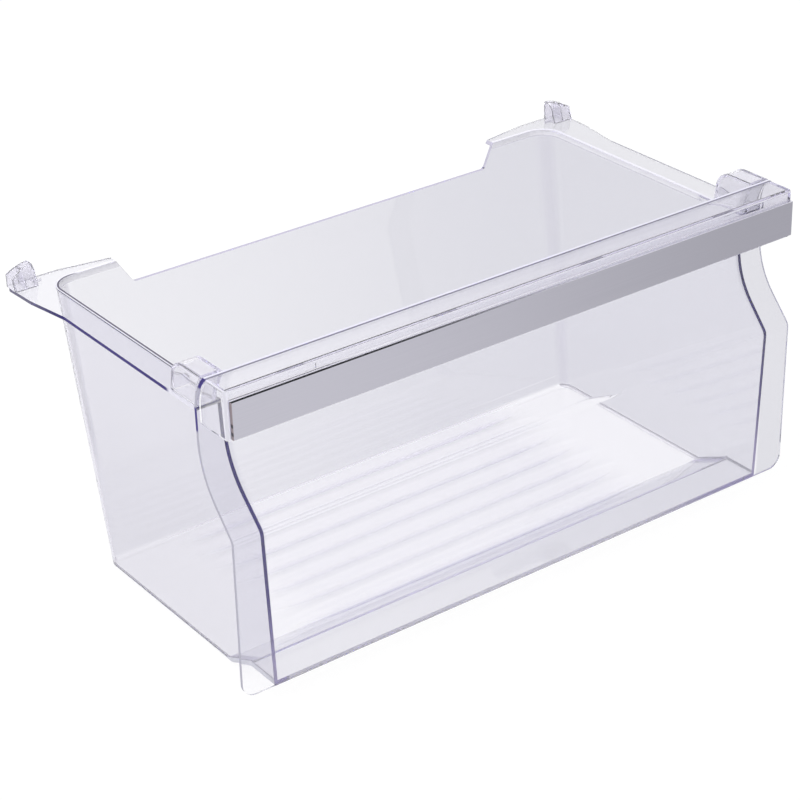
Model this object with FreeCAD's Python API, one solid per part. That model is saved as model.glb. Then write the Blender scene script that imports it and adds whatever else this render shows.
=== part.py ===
import FreeCAD, Part
import math
import os

# Clear freezer drawer with a curved front, a hollow grip and a metal-look trim.
# Millimetres. X is the width, Y runs from the front to the back, Z is up.
# The origin is on the floor's underside, midway across and midway deep.
# Depths below are measured from the front face of the trim, heights from the
# floor's underside.

# Overall sizes
OVERALL_HEIGHT = 230.0
OVERALL_DEPTH = 260.0
WALL = 2.5

# Glue line between the pieces that are bonded face to face
BOND_LINE = 0.05

# Front panel, an S-shaped plate that is wider than the tub
PANEL_WIDTH = 464.0
PANEL_FOOT = 13.0
LOWER_FACE_SETBACK = 2.0
LOWER_FACE_LEAN = 1.5
KINK_UNDER_RECESS = 57.0
KINK_RADIUS = 8.0
RECESS_DEPTH = 33.5
RECESS_UPRIGHT = 21.0
RECESS_OVER_RIM = 1.0
SWEEP_RADIUS = 57.5
PANEL_TOP_SETBACK = 23.4
PANEL_CORNER_RADIUS = 10.0

# Grip cap over the hand recess
HANDLE_WIDTH = 460.0
HANDLE_FRONT_SETBACK = 2.4
HANDLE_DROP = 33.5
HANDLE_CORNER_RADIUS = 4.0
HANDLE_EDGE_RADIUS = 0.8
SKIRT_WALL = 2.5
TOP_LIP_HEIGHT = 6.0
BOTTOM_LIP_HEIGHT = 1.6
GROOVE_DEPTH = 2.6

# Trim strip, a shallow channel that hooks through slots in the cap's skirt
TRIM_END_LIP = 1.9
TRIM_END_FIT = 0.2
TRIM_FIT = 0.7
TRIM_SHEET = 1.4
TRIM_EDGE_RADIUS = 0.5
HOOK_WIDTH = 18.0
HOOK_THICKNESS = 1.6
HOOK_CATCH = 1.2
HOOK_CATCH_LENGTH = 1.8
HOOK_FIT = 0.2
HOOK_OFFSETS = (60.0, 176.0)

# Shallow windows above the outer hooks
WINDOW_WIDTH = 20.0
WINDOW_HEIGHT = 3.5
WINDOW_DEPTH = 0.6
WINDOW_LIFT = 1.0

# Tub
FLOOR_HALF_WIDTH = 207.4
SIDE_DRAFT = 2.1
FLOOR_REAR_DEPTH = 215.4
REAR_DRAFT = 9.1
FLOOR_CORNER_RADIUS = 11.0
RIM_CORNER_RADIUS = 18.0
FLOOR_EDGE_RADIUS = 4.0
RAMP_START_DEPTH = 62.0
RAMP_END_DEPTH = 33.0
SHELF_HEIGHT = 13.0

# Rim flange and rear wall cut-out
RIM_DROP = 22.5
RIM_THICKNESS = 2.5
FLARE_START_DEPTH = 193.0
FLARE_END_DEPTH = 228.0
FLARE_HALF_WIDTH = 237.6
REAR_HALF_WIDTH = 239.0
REAR_CORNER_RADIUS = 6.0
LIP_WIDE_HALF_WIDTH = 200.0
LIP_NARROW_DEPTH = 5.0
CUTOUT_BOTTOM_WIDTH = 303.0
CUTOUT_TOP_WIDTH = 325.0
CUTOUT_DEPTH = 17.5
CUTOUT_RADIUS = 4.0

# Floor ribs
RIB_COUNT = 7
RIB_PITCH = 22.5
RIB_FIRST_DEPTH = 72.0
RIB_WIDTH = 21.0
RIB_LENGTH = 330.0
RIB_HEIGHT = 1.5
RIB_FADE_LENGTH = 60.0
RIB_END_SINK = 0.5

# Corner blocks behind the grip
BLOCK_WIDTH = 15.5
BLOCK_SIDE_INSET = 1.0
BLOCK_REAR_DEPTH = 65.0
BLOCK_REAR_LEAN = 1.5
BLOCK_ROUNDING = 14.0
BLOCK_WALL = 2.2
BLOCK_EDGE_RADIUS = 0.8

# Stops on the rear corners of the rim
STOP_WIDTH = 17.5
STOP_LENGTH = 14.0
STOP_REAR_INSET = 1.0
STOP_HEIGHT = 14.5
STOP_OUTER_DROP = 5.5
STOP_ARCH_RISE = 1.2
STOP_FRONT_LEAN = 2.8
STOP_ROUNDING = 8.0
STOP_EDGE_RADIUS = 1.5
STOP_WALL = 1.6
STOP_RIB = 1.4
STOP_TAB_WIDTH = 4.6
STOP_TAB_LENGTH = 1.6
STOP_TAB_HEIGHT = 1.6
STOP_TAB_SETBACK = 8.4

# Heights that follow from the sizes above
RIM_TOP = OVERALL_HEIGHT - RIM_DROP
RIM_UNDERSIDE = RIM_TOP - RIM_THICKNESS
RECESS_TOP = RIM_UNDERSIDE + RECESS_OVER_RIM
RECESS_BOTTOM = RECESS_TOP - RECESS_UPRIGHT
KINK_HEIGHT = RECESS_BOTTOM - KINK_UNDER_RECESS
HANDLE_BOTTOM = OVERALL_HEIGHT - HANDLE_DROP
GROOVE_TOP = OVERALL_HEIGHT - TOP_LIP_HEIGHT
GROOVE_BOTTOM = HANDLE_BOTTOM + BOTTOM_LIP_HEIGHT
GROOVE_FLOOR_DEPTH = HANDLE_FRONT_SETBACK + GROOVE_DEPTH
GROOVE_HALF_WIDTH = HANDLE_WIDTH / 2.0 - TRIM_END_LIP
TRIM_HALF_WIDTH = GROOVE_HALF_WIDTH - TRIM_END_FIT
TRIM_BOTTOM = GROOVE_BOTTOM
TRIM_TOP = GROOVE_TOP - TRIM_FIT
HOOK_HEIGHT = (TRIM_BOTTOM + TRIM_TOP) / 2.0
SKIRT_BACK_DEPTH = GROOVE_FLOOR_DEPTH + SKIRT_WALL
BEYOND = 60.0


def at(depth, height, x=0.0):
    """Point at a depth behind the trim's face and a height above the underside."""
    return FreeCAD.Vector(x, depth - OVERALL_DEPTH / 2.0, height)


def box(half_width, depths, heights):
    """Box centred on X between two depths and two heights."""
    corner = at(depths[0], heights[0], -half_width)
    return Part.makeBox(2.0 * half_width, depths[1] - depths[0], heights[1] - heights[0], corner)


def side_box(x_range, depths, heights):
    """Box between two places in X, two depths and two heights."""
    corner = at(depths[0], heights[0], x_range[0])
    return Part.makeBox(x_range[1] - x_range[0], depths[1] - depths[0], heights[1] - heights[0], corner)


def across(edges, half_width):
    """Solid made by drawing a section in the YZ plane out to both sides."""
    face = Part.Face(Part.Wire(edges))
    face.translate(FreeCAD.Vector(-half_width, 0.0, 0.0))
    return face.extrude(FreeCAD.Vector(2.0 * half_width, 0.0, 0.0))


def polygon(points):
    """Edges of a closed outline through the points."""
    return Part.makePolygon(points + [points[0]]).Edges


def upright(points, low, high):
    """Upright prism over a plan outline of (x, depth) pairs, between two heights."""
    outline = Part.Face(Part.Wire(polygon([at(depth, low, x) for x, depth in points])))
    return outline.extrude(FreeCAD.Vector(0.0, 0.0, high - low))


def mirrored(shape):
    """The same piece on the other side of the drawer."""
    return shape.mirror(FreeCAD.Vector(0.0, 0.0, 0.0), FreeCAD.Vector(1.0, 0.0, 0.0))


# The panel's S section is held as (depth, height) pairs for any distance behind
# its outer face, so that its two faces and the pieces that meet it agree.

def unit(vector):
    length = math.hypot(vector[0], vector[1])
    return (vector[0] / length, vector[1] / length)


def panel_points(back):
    """Named points of the section that lies a distance behind the outer face."""
    kink = (LOWER_FACE_SETBACK, KINK_HEIGHT)
    foot = (LOWER_FACE_SETBACK + LOWER_FACE_LEAN, PANEL_FOOT)
    centre = (RECESS_DEPTH - SWEEP_RADIUS, RECESS_BOTTOM)

    # The straight above the kink is tangent to the sweep's circle.
    reach = math.hypot(kink[0] - centre[0], kink[1] - centre[1])
    to_kink = math.atan2(kink[1] - centre[1], kink[0] - centre[0])
    swing = to_kink + math.acos(SWEEP_RADIUS / reach)
    outward = (math.cos(swing), math.sin(swing))
    radius = SWEEP_RADIUS + back
    sweep_end = (centre[0] + radius * outward[0], centre[1] + radius * outward[1])
    half_swing = swing / 2.0
    sweep_middle = (centre[0] + radius * math.cos(half_swing), centre[1] + radius * math.sin(half_swing))

    # The kink's arc touches the lower face and the straight, and is centred behind them.
    along_lower = unit((foot[0] - kink[0], foot[1] - kink[1]))
    behind_lower = (-along_lower[1], along_lower[0])
    bisector = unit((behind_lower[0] + outward[0], behind_lower[1] + outward[1]))
    cosine = behind_lower[0] * bisector[0] + behind_lower[1] * bisector[1]
    kink_centre = (
        kink[0] + bisector[0] * KINK_RADIUS / cosine,
        kink[1] + bisector[1] * KINK_RADIUS / cosine,
    )
    inner = KINK_RADIUS - back
    kink_low = (kink_centre[0] - inner * behind_lower[0], kink_centre[1] - inner * behind_lower[1])
    kink_middle = (kink_centre[0] - inner * bisector[0], kink_centre[1] - inner * bisector[1])
    kink_high = (kink_centre[0] - inner * outward[0], kink_centre[1] - inner * outward[1])

    # The top arc leaves the recess upright and leans forward to the top edge.
    rise = OVERALL_HEIGHT - RECESS_TOP
    run = RECESS_DEPTH - PANEL_TOP_SETBACK
    top_radius = (rise * rise + run * run) / (2.0 * run)
    top_centre = (RECESS_DEPTH - top_radius, RECESS_TOP)
    radius = top_radius + back
    lean = math.asin(rise / radius)
    top = (top_centre[0] + radius * math.cos(lean), OVERALL_HEIGHT)
    top_middle = (
        top_centre[0] + radius * math.cos(lean / 2.0),
        top_centre[1] + radius * math.sin(lean / 2.0),
    )
    bottom = (foot[0] + back * behind_lower[0], PANEL_FOOT)
    return {
        "bottom": bottom,
        "kink_low": kink_low,
        "kink_middle": kink_middle,
        "kink_high": kink_high,
        "sweep_end": sweep_end,
        "sweep_middle": sweep_middle,
        "recess_low": (RECESS_DEPTH + back, RECESS_BOTTOM),
        "recess_high": (RECESS_DEPTH + back, RECESS_TOP),
        "top_middle": top_middle,
        "top": top,
    }


def panel_face_edges(back):
    """Edges of that section from the panel's foot to its top."""
    points = {name: at(*pair) for name, pair in panel_points(back).items()}
    return [
        Part.makeLine(points["bottom"], points["kink_low"]),
        Part.Arc(points["kink_low"], points["kink_middle"], points["kink_high"]).toShape(),
        Part.makeLine(points["kink_high"], points["sweep_end"]),
        Part.Arc(points["sweep_end"], points["sweep_middle"], points["recess_low"]).toShape(),
        Part.makeLine(points["recess_low"], points["recess_high"]),
        Part.Arc(points["recess_high"], points["top_middle"], points["top"]).toShape(),
    ]


def space_before(back, half_width):
    """Everything in front of the section that lies a distance behind the outer face."""
    points = panel_points(back)
    low = at(points["bottom"][0], -BEYOND)
    high = at(points["top"][0], OVERALL_HEIGHT + BEYOND)
    front_low = at(-BEYOND, -BEYOND)
    front_high = at(-BEYOND, OVERALL_HEIGHT + BEYOND)
    edges = [Part.makeLine(low, at(*points["bottom"]))]
    edges += panel_face_edges(back)
    edges += [
        Part.makeLine(at(*points["top"]), high),
        Part.makeLine(high, front_high),
        Part.makeLine(front_high, front_low),
        Part.makeLine(front_low, low),
    ]
    return across(edges, half_width)


def front_panel():
    """S-shaped plate with side wings, drawn in to the grip's width at its top."""
    half = PANEL_WIDTH / 2.0
    outer = panel_points(0.0)
    inner = panel_points(WALL)
    edges = panel_face_edges(0.0)
    edges.append(Part.makeLine(at(*outer["top"]), at(*inner["top"])))
    edges += panel_face_edges(WALL)
    edges.append(Part.makeLine(at(*inner["bottom"]), at(*outer["bottom"])))
    plate = across(Part.sortEdges(edges)[0], half)

    top_half = HANDLE_WIDTH / 2.0
    outline = [
        (-half, PANEL_FOOT), (half, PANEL_FOOT), (half, RIM_TOP), (top_half, OVERALL_HEIGHT),
        (-top_half, OVERALL_HEIGHT), (-half, RIM_TOP),
    ]
    face = Part.Face(Part.Wire(polygon([at(-BEYOND, height, x) for x, height in outline])))
    front_view = face.extrude(FreeCAD.Vector(0.0, 3.0 * BEYOND, 0.0))
    corners = [
        edge for edge in front_view.Edges
        if abs(edge.CenterOfMass.z - PANEL_FOOT) < 0.01 and abs(abs(edge.CenterOfMass.x) - half) < 0.01
    ]
    front_view = front_view.makeFillet(PANEL_CORNER_RADIUS, corners)
    return plate.common(front_view)


def hook_bar(x, fit):
    """Bar of a hook from the trim to behind the skirt, at a place in X."""
    half = HOOK_WIDTH / 2.0 + fit
    low = HOOK_HEIGHT - HOOK_THICKNESS / 2.0 - fit
    high = HOOK_HEIGHT + HOOK_THICKNESS / 2.0 + fit
    end = SKIRT_BACK_DEPTH + fit + HOOK_CATCH_LENGTH
    return side_box((x - half, x + half), (TRIM_SHEET, end), (low, high))


def hook_places():
    """Places of the hooks in X, on both sides."""
    return [side * offset for offset in HOOK_OFFSETS for side in (-1.0, 1.0)]


def handle_cap():
    """Grip cap: top plate, front skirt with the trim's groove, and two closed ends."""
    half = HANDLE_WIDTH / 2.0
    shell_back = RECESS_DEPTH + BEYOND
    block = box(half, (HANDLE_FRONT_SETBACK, shell_back), (HANDLE_BOTTOM, OVERALL_HEIGHT))
    corners = [
        edge for edge in block.Edges
        if abs(edge.CenterOfMass.y - at(HANDLE_FRONT_SETBACK, 0.0).y) < 0.01
        and abs(abs(edge.CenterOfMass.x) - half) < 0.01
    ]
    block = block.makeFillet(HANDLE_CORNER_RADIUS, corners)
    block = block.makeFillet(HANDLE_EDGE_RADIUS, [
        edge for edge in block.Edges
        if edge.BoundBox.ZMin > OVERALL_HEIGHT - 0.01 and edge.BoundBox.YMin < at(shell_back, 0.0).y - 0.01
    ])

    hollow = box(half - WALL, (SKIRT_BACK_DEPTH, shell_back), (0.0, OVERALL_HEIGHT - WALL))
    groove = box(GROOVE_HALF_WIDTH, (0.0, GROOVE_FLOOR_DEPTH), (GROOVE_BOTTOM, GROOVE_TOP))
    cap = block.cut(hollow).cut(groove)
    for place in hook_places():
        cap = cap.cut(hook_bar(place, HOOK_FIT))
    window_low = GROOVE_TOP + WINDOW_LIFT
    for side in (-1.0, 1.0):
        centre = side * max(HOOK_OFFSETS)
        cap = cap.cut(side_box(
            (centre - WINDOW_WIDTH / 2.0, centre + WINDOW_WIDTH / 2.0),
            (0.0, HANDLE_FRONT_SETBACK + WINDOW_DEPTH),
            (window_low, window_low + WINDOW_HEIGHT),
        ))
    return cap.common(space_before(-BOND_LINE, half + WALL)).removeSplitter()


def trim_strip():
    """Trim strip: a flat face, short returns all round, and hooks at its back."""
    half = TRIM_HALF_WIDTH
    bar = box(half, (0.0, GROOVE_FLOOR_DEPTH), (TRIM_BOTTOM, TRIM_TOP))
    front = [edge for edge in bar.Edges if abs(edge.CenterOfMass.y - at(0.0, 0.0).y) < 0.01]
    bar = bar.makeFillet(TRIM_EDGE_RADIUS, front)
    hollow = box(
        half - TRIM_SHEET,
        (TRIM_SHEET, GROOVE_FLOOR_DEPTH),
        (TRIM_BOTTOM + TRIM_SHEET, TRIM_TOP - TRIM_SHEET),
    )
    strip = bar.cut(hollow)
    catch_top = HOOK_HEIGHT + HOOK_THICKNESS / 2.0 + HOOK_CATCH
    catch_front = SKIRT_BACK_DEPTH + HOOK_FIT
    for place in hook_places():
        catch = side_box(
            (place - HOOK_WIDTH / 2.0, place + HOOK_WIDTH / 2.0),
            (catch_front, catch_front + HOOK_CATCH_LENGTH - HOOK_FIT),
            (HOOK_HEIGHT, catch_top),
        )
        strip = strip.fuse(hook_bar(place, 0.0)).fuse(catch)
    return strip.removeSplitter()


def wall_half_width(height):
    """Half the tub's outer width at a height."""
    return FLOOR_HALF_WIDTH + height * math.tan(math.radians(SIDE_DRAFT))


def wall_rear_depth(height):
    """Depth of the rear wall's outer face at a height."""
    return FLOOR_REAR_DEPTH + height * math.tan(math.radians(REAR_DRAFT))


def tub_outline(height, inset, corner_radius):
    """Rounded plan of the tub's walls at a height, drawn in by the inset."""
    x = wall_half_width(height) - inset
    rear = wall_rear_depth(height) - inset
    r = corner_radius - inset
    front = -BEYOND
    mid = r * math.sqrt(0.5)
    left_arc = [
        at(rear - r, height, -x), at(rear - r + mid, height, -(x - r) - mid), at(rear, height, -x + r),
    ]
    right_arc = [
        at(rear, height, x - r), at(rear - r + mid, height, x - r + mid), at(rear - r, height, x),
    ]
    return Part.Wire([
        Part.makeLine(at(front, height, -x), left_arc[0]),
        Part.Arc(*left_arc).toShape(),
        Part.makeLine(left_arc[2], right_arc[0]),
        Part.Arc(*right_arc).toShape(),
        Part.makeLine(right_arc[2], at(front, height, x)),
        Part.makeLine(at(front, height, x), at(front, height, -x)),
    ])


def tub_block(inset, low, high):
    """Drafted block with the tub's plan, between two heights."""
    slope = (RIM_CORNER_RADIUS - FLOOR_CORNER_RADIUS) / RIM_TOP
    sections = [tub_outline(z, inset, FLOOR_CORNER_RADIUS + slope * z) for z in (low, high)]
    return Part.makeLoft(sections, True, True)


def below_front_floor(lift):
    """Space under the ramp and shelf at the front, lifted by the floor's thickness."""
    slope = SHELF_HEIGHT / (RAMP_START_DEPTH - RAMP_END_DEPTH)
    shift = lift * (math.sqrt(1.0 + slope * slope) - 1.0) / slope
    start = RAMP_START_DEPTH + shift
    end = RAMP_END_DEPTH + shift
    return across(polygon([
        at(-2.0 * BEYOND, -BEYOND), at(start, -BEYOND), at(start, lift),
        at(end, SHELF_HEIGHT + lift), at(-2.0 * BEYOND, SHELF_HEIGHT + lift),
    ]), PANEL_WIDTH)


def floor_rib(depth):
    """One long low rib with a round section that fades out at both ends."""
    half_width = RIB_WIDTH / 2.0
    radius = (half_width * half_width + RIB_HEIGHT * RIB_HEIGHT) / (2.0 * RIB_HEIGHT)
    axis_height = WALL + RIB_HEIGHT - radius
    half = RIB_LENGTH / 2.0
    drop = RIB_HEIGHT + RIB_END_SINK
    fade_radius = (RIB_FADE_LENGTH * RIB_FADE_LENGTH + drop * drop) / (2.0 * drop)
    half_fade = RIB_FADE_LENGTH / 2.0
    half_drop = fade_radius - math.sqrt(fade_radius * fade_radius - half_fade * half_fade)

    top = axis_height + radius
    right_bend = at(depth, top, half - RIB_FADE_LENGTH)
    right_middle = at(depth, top - half_drop, half - half_fade)
    right_end = at(depth, top - drop, half)
    left_bend = at(depth, top, -half + RIB_FADE_LENGTH)
    left_middle = at(depth, top - half_drop, -half + half_fade)
    left_end = at(depth, top - drop, -half)
    profile = Part.Face(Part.Wire([
        Part.makeLine(at(depth, axis_height, -half), left_end),
        Part.Arc(left_end, left_middle, left_bend).toShape(),
        Part.makeLine(left_bend, right_bend),
        Part.Arc(right_bend, right_middle, right_end).toShape(),
        Part.makeLine(right_end, at(depth, axis_height, half)),
        Part.makeLine(at(depth, axis_height, half), at(depth, axis_height, -half)),
    ]))
    spindle = profile.revolve(at(depth, axis_height), FreeCAD.Vector(1.0, 0.0, 0.0), 360.0)
    in_floor = box(half, (depth - RIB_WIDTH, depth + RIB_WIDTH), (WALL / 2.0, WALL + RIB_HEIGHT))
    return spindle.common(in_floor)


def rim_flange():
    """Flat rim that carries the drawer on its runners, flared at the rear corners."""
    half = PANEL_WIDTH / 2.0
    lip_depth = wall_rear_depth(RIM_TOP) + LIP_NARROW_DEPTH
    narrow_half = CUTOUT_TOP_WIDTH / 2.0
    right = [
        (half, 0.0), (half, FLARE_START_DEPTH), (FLARE_HALF_WIDTH, FLARE_END_DEPTH),
        (REAR_HALF_WIDTH, OVERALL_DEPTH), (LIP_WIDE_HALF_WIDTH, OVERALL_DEPTH),
        (narrow_half, lip_depth),
    ]
    left = [(-x, depth) for x, depth in reversed(right)]
    flange = upright(right + left, RIM_UNDERSIDE, RIM_TOP)
    corners = [
        edge for edge in flange.Edges
        if abs(abs(edge.CenterOfMass.x) - REAR_HALF_WIDTH) < 0.01
        and abs(edge.CenterOfMass.z - (RIM_TOP + RIM_UNDERSIDE) / 2.0) < 0.01
    ]
    return flange.makeFillet(REAR_CORNER_RADIUS, corners)


def rear_cutout():
    """Slanted notch through the top of the rear wall."""
    low = RIM_TOP - CUTOUT_DEPTH
    bottom = CUTOUT_BOTTOM_WIDTH / 2.0
    top = CUTOUT_TOP_WIDTH / 2.0
    spread = (top - bottom) / CUTOUT_DEPTH
    over = CUTOUT_DEPTH
    outline = [
        (-bottom, low), (bottom, low), (top + spread * over, RIM_TOP + over),
        (-top - spread * over, RIM_TOP + over),
    ]
    front = FLOOR_REAR_DEPTH - WALL
    face = Part.Face(Part.Wire(polygon([at(front, height, x) for x, height in outline])))
    notch = face.extrude(FreeCAD.Vector(0.0, OVERALL_DEPTH + BEYOND - front, 0.0))
    corners = [
        edge for edge in notch.Edges
        if abs(edge.CenterOfMass.z - low) < 0.01 and abs(abs(edge.CenterOfMass.x) - bottom) < 0.01
    ]
    return notch.makeFillet(CUTOUT_RADIUS, corners)


def drawer_tub():
    """Tub: floor with ribs, raised front shelf, drafted walls and the rim."""
    body = tub_block(0.0, 0.0, RIM_TOP)
    bottom = [
        edge for edge in body.Edges
        if edge.BoundBox.ZMax < 0.01 and edge.BoundBox.YMax > at(0.0, 0.0).y
    ]
    body = body.makeFillet(FLOOR_EDGE_RADIUS, bottom)
    body = body.cut(below_front_floor(0.0)).fuse(rim_flange()).removeSplitter()

    cavity = tub_block(WALL, WALL, OVERALL_HEIGHT)
    bottom = [
        edge for edge in cavity.Edges
        if edge.BoundBox.ZMax < WALL + 0.01 and edge.BoundBox.YMax > at(0.0, 0.0).y
    ]
    cavity = cavity.makeFillet(FLOOR_EDGE_RADIUS - WALL / 2.0, bottom)
    cavity = cavity.cut(below_front_floor(WALL))

    tub = body.cut(cavity).cut(rear_cutout())
    for number in range(RIB_COUNT):
        tub = tub.fuse(floor_rib(RIB_FIRST_DEPTH + number * RIB_PITCH))
    return tub.cut(space_before(WALL + BOND_LINE, PANEL_WIDTH)).removeSplitter()


def block_section(inset, floor_gap):
    """Side view of a corner block, drawn in by the inset, as closed edges."""
    top = OVERALL_HEIGHT - inset
    rear = BLOCK_REAR_DEPTH - inset
    low = RIM_TOP + BOND_LINE - floor_gap
    radius = BLOCK_ROUNDING - inset
    turn = top - radius
    mid = radius * math.sqrt(0.5)
    arc_start = at(rear - BLOCK_REAR_LEAN - radius, top)
    arc_middle = at(rear - BLOCK_REAR_LEAN - radius + mid, turn + mid)
    arc_end = at(rear - BLOCK_REAR_LEAN, turn)
    return [
        Part.makeLine(at(0.0, low), at(0.0, top)),
        Part.makeLine(at(0.0, top), arc_start),
        Part.Arc(arc_start, arc_middle, arc_end).toShape(),
        Part.makeLine(arc_end, at(rear, low)),
        Part.makeLine(at(rear, low), at(0.0, low)),
    ]


def right_corner_block():
    """Hollow block with a rounded back that fills the corner behind the grip."""
    middle = PANEL_WIDTH / 2.0 - BLOCK_SIDE_INSET - BLOCK_WIDTH / 2.0
    solid = across(block_section(0.0, 0.0), BLOCK_WIDTH / 2.0)
    hollow = across(block_section(BLOCK_WALL, BEYOND), BLOCK_WIDTH / 2.0 - BLOCK_WALL)
    shoulders = [
        edge for edge in solid.Edges
        if abs(abs(edge.CenterOfMass.x) - BLOCK_WIDTH / 2.0) < 0.01
        and edge.BoundBox.ZMax > RIM_TOP + BOND_LINE + 0.01 and edge.BoundBox.YMax > at(0.0, 0.0).y + 0.01
    ]
    solid = solid.makeFillet(BLOCK_EDGE_RADIUS, shoulders)
    front = WALL + BOND_LINE
    block = solid.cut(space_before(front, BLOCK_WIDTH))
    block = block.cut(hollow.cut(space_before(front + BLOCK_WALL, BLOCK_WIDTH)))
    block.translate(FreeCAD.Vector(middle, 0.0, 0.0))
    return block


def stop_shell(inset, low):
    """Outer form of a rear stop, drawn in by the inset, from a lowest height up."""
    outer = REAR_HALF_WIDTH - inset
    inner = REAR_HALF_WIDTH - STOP_WIDTH + inset
    rear = OVERALL_DEPTH - STOP_REAR_INSET - inset
    front = OVERALL_DEPTH - STOP_REAR_INSET - STOP_LENGTH + inset
    top = RIM_TOP + STOP_HEIGHT - inset
    radius = STOP_ROUNDING - inset
    turn = top - radius
    mid = radius * math.sqrt(0.5)

    arc_start = at(front + STOP_FRONT_LEAN, turn)
    arc_middle = at(front + STOP_FRONT_LEAN + radius - mid, turn + mid)
    arc_end = at(front + STOP_FRONT_LEAN + radius, top)
    side_view = across([
        Part.makeLine(at(front, low), arc_start),
        Part.Arc(arc_start, arc_middle, arc_end).toShape(),
        Part.makeLine(arc_end, at(rear, top)),
        Part.makeLine(at(rear, top), at(rear, low)),
        Part.makeLine(at(rear, low), at(front, low)),
    ], REAR_HALF_WIDTH)

    shoulder = top - STOP_OUTER_DROP
    crown = (top + shoulder) / 2.0 + STOP_ARCH_RISE
    arch = Part.Arc(
        at(0.0, top, inner), at(0.0, crown, (inner + outer) / 2.0), at(0.0, shoulder, outer),
    ).toShape()
    front_view = Part.Face(Part.Wire([
        Part.makeLine(at(0.0, low, inner), at(0.0, top, inner)),
        arch,
        Part.makeLine(at(0.0, shoulder, outer), at(0.0, low, outer)),
        Part.makeLine(at(0.0, low, outer), at(0.0, low, inner)),
    ]))
    return side_view.common(front_view.extrude(FreeCAD.Vector(0.0, OVERALL_DEPTH, 0.0)))


def right_rear_stop():
    """Hollow arched stop with a rib inside, on the rim's rear corner."""
    rear = OVERALL_DEPTH - STOP_REAR_INSET
    inner = REAR_HALF_WIDTH - STOP_WIDTH
    middle = REAR_HALF_WIDTH - STOP_WIDTH / 2.0
    low = RIM_TOP + BOND_LINE
    hollow = stop_shell(STOP_WALL, low)
    rib = side_box(
        (middle - STOP_RIB / 2.0, middle + STOP_RIB / 2.0),
        (rear - STOP_LENGTH, rear), (low, low + STOP_HEIGHT),
    )
    tab_front = rear - STOP_TAB_SETBACK
    tab = side_box(
        (inner - STOP_TAB_WIDTH, inner + STOP_WALL), (tab_front, tab_front + STOP_TAB_LENGTH),
        (low, low + STOP_TAB_HEIGHT),
    )
    shell = stop_shell(0.0, low)
    above_foot = [edge for edge in shell.Edges if edge.BoundBox.ZMax > low + 0.01]
    shell = shell.makeFillet(STOP_EDGE_RADIUS, above_foot).cut(hollow.cut(rib))
    return shell.fuse(tab.cut(hollow)).removeSplitter()


def left_corner_block():
    """The corner block on the left."""
    return mirrored(right_corner_block())


def left_rear_stop():
    """The rear stop on the left."""
    return mirrored(right_rear_stop())


PIECES = {
    "drawer_tub": drawer_tub,
    "front_panel": front_panel,
    "handle_cap": handle_cap,
    "trim_strip": trim_strip,
    "left_corner_block": left_corner_block,
    "right_corner_block": right_corner_block,
    "left_rear_stop": left_rear_stop,
    "right_rear_stop": right_rear_stop,
}

os.makedirs("parts", exist_ok=True)
for name, make in PIECES.items():
    shape = make()
    volume = round(shape.Volume / 1000.0, 2)
    print(name, "solids", len(shape.Solids), "volume cm3", volume, "valid", shape.isValid())
    shape.exportStep("parts/" + name + ".step")
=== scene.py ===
# %% [markdown]
# A clear freezer drawer. The fixed frame gives every moulded piece at its real size,
# so this lesson is about light: how clear plastic is given its tint, its violet edges
# and its gloss, and how a white studio is set up so that a see-through thing shows.

# %% Load the frame
import math
from types import SimpleNamespace

import bmesh
import bpy
from mathutils import Matrix, Vector

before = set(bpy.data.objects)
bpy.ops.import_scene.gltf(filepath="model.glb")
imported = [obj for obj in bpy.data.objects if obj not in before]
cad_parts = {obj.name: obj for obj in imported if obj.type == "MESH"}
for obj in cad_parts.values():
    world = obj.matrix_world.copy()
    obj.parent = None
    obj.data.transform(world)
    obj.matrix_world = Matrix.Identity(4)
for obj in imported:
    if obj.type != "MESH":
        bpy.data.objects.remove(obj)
scene = bpy.context.scene
scene.view_settings.view_transform = "Standard"
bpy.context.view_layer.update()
print("nodes:", sorted(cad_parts))

# %% [markdown]
# Camera. The photograph was taken from the front left, a little above the drawer, with
# a long lens. The place and the turn of the camera were worked out from the straight
# edges of the drawer, and the lens is given as the focal length in pixels.

# %% Camera
IMAGE_PIXELS = 800
FOCAL_PIXELS = 2341.6
SENSOR_MM = 36.0
CLIP_RANGE = (0.05, 50.0)
CAMERA_PLACE = Vector((-0.84767, -1.16288, 0.86653))
CAMERA_AZIMUTH = math.radians(-35.64)
CAMERA_ELEVATION = math.radians(28.23)
CAMERA_ROLL = math.radians(-1.85)

camera_data = bpy.data.cameras.new("camera")
camera_data.sensor_width = SENSOR_MM
camera_data.lens = FOCAL_PIXELS / IMAGE_PIXELS * SENSOR_MM
camera_data.clip_start, camera_data.clip_end = CLIP_RANGE
camera = bpy.data.objects.new("camera", camera_data)
scene.collection.objects.link(camera)
scene.camera = camera

towards_camera = Vector((
    math.sin(CAMERA_AZIMUTH) * math.cos(CAMERA_ELEVATION),
    -math.cos(CAMERA_AZIMUTH) * math.cos(CAMERA_ELEVATION),
    math.sin(CAMERA_ELEVATION),
))
level_right = (-towards_camera).cross(Vector((0.0, 0.0, 1.0))).normalized()
level_up = level_right.cross(-towards_camera)
right = level_right * math.cos(CAMERA_ROLL) + level_up * math.sin(CAMERA_ROLL)
up = level_up * math.cos(CAMERA_ROLL) - level_right * math.sin(CAMERA_ROLL)
turn = Matrix((right, up, towards_camera)).transposed()
camera.matrix_world = Matrix.Translation(CAMERA_PLACE) @ turn.to_4x4()
print("lens in mm:", round(camera_data.lens, 2))

# %% [markdown]
# Nodes. Each material here is a graph of nodes, which could be laid out by hand in the
# shader editor. In code, a few helpers keep a graph readable: one adds a node with its
# sockets set, one does arithmetic, and the others join masks and shaders.

# %% Node helpers
WHITE = (1.0, 1.0, 1.0, 1.0)
DIRECT_RAYS = ("Is Camera Ray", "Is Glossy Ray", "Is Transmission Ray")


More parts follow.
